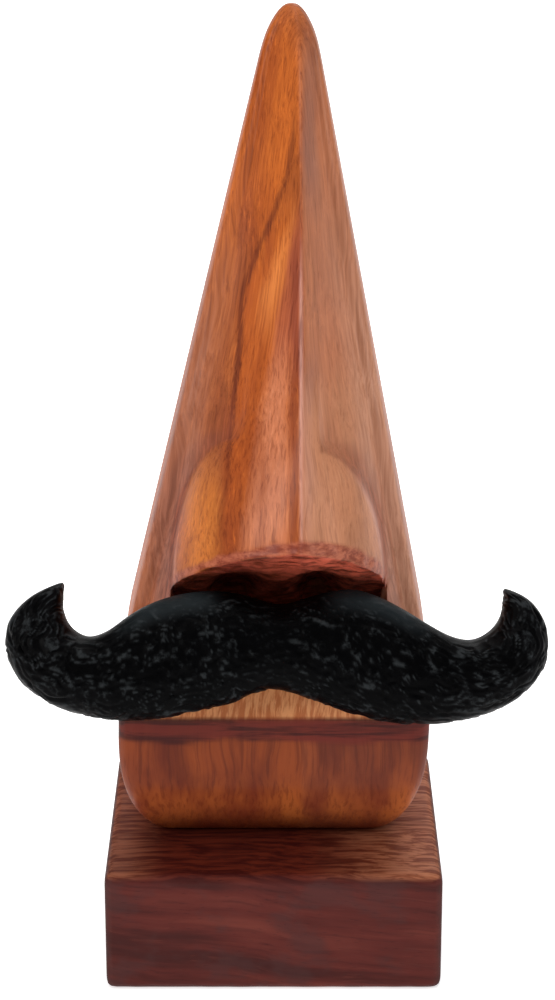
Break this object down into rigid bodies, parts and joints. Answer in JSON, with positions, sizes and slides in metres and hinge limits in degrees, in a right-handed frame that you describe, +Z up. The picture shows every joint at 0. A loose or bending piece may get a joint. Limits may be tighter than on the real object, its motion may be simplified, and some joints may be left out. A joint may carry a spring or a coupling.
{
  "type": "eyeglasses display stand",
  "caption": "Tabletop stand for eyeglasses: a carved wooden nose with a black moustache, standing on a rectangular wooden plinth.",
  "frame": {"origin": "middle of the plinth's underside, where it stands on the table", "axes": "+Z up to the top of the nose, -Y out through the nose's front, +X to the viewer's right"},
  "size_m": [0.0901, 0.0522, 0.1606],
  "materials": {
    "plinth_wood": "dark red-brown rosewood, satin lacquer, grain lying from side to side",
    "nose_wood": "orange-brown rosewood with dark streaks, satin lacquer, upright grain",
    "black_paint": "chiselled wood painted satin black",
    "zinc_steel": "zinc-plated steel",
    "bright_steel": "bright drawn steel"
  },
  "bodies": {
    "root": {"plinth": "plinth_wood", "nose_body": "nose_wood", "moustache": "black_paint", "base_screw_left": "zinc_steel", "base_screw_right": "zinc_steel", "moustache_pin_left": "bright_steel", "moustache_pin_right": "bright_steel"}
  },
  "joints": []
}
